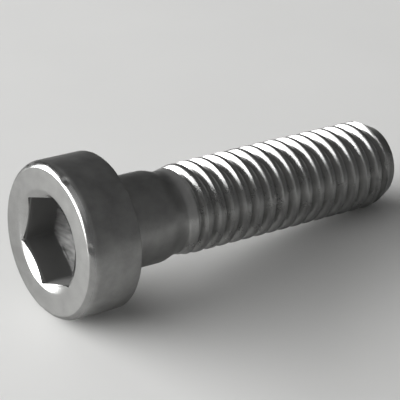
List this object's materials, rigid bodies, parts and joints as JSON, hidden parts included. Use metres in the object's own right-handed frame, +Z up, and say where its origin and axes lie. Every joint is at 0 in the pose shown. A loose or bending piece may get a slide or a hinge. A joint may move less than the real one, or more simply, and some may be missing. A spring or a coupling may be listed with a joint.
{
  "type": "hex socket cap screw",
  "caption": "Low-head steel cap screw with a countersunk hex socket, a plain shank and a rolled right-hand thread with a chamfered tip.",
  "frame": {"origin": "on the resting plane, under the middle of the screw's outline", "axes": "+Z up, the screw lying as it comes to rest with its head towards -X and its tip towards +X, its axis in the XZ plane and 5.5 degrees down towards the tip"},
  "size_m": [0.0264, 0.0098, 0.0101],
  "materials": {
    "steel": "satin forged head and bright rolled thread"
  },
  "bodies": {
    "root": {"screw": "steel"}
  },
  "joints": []
}
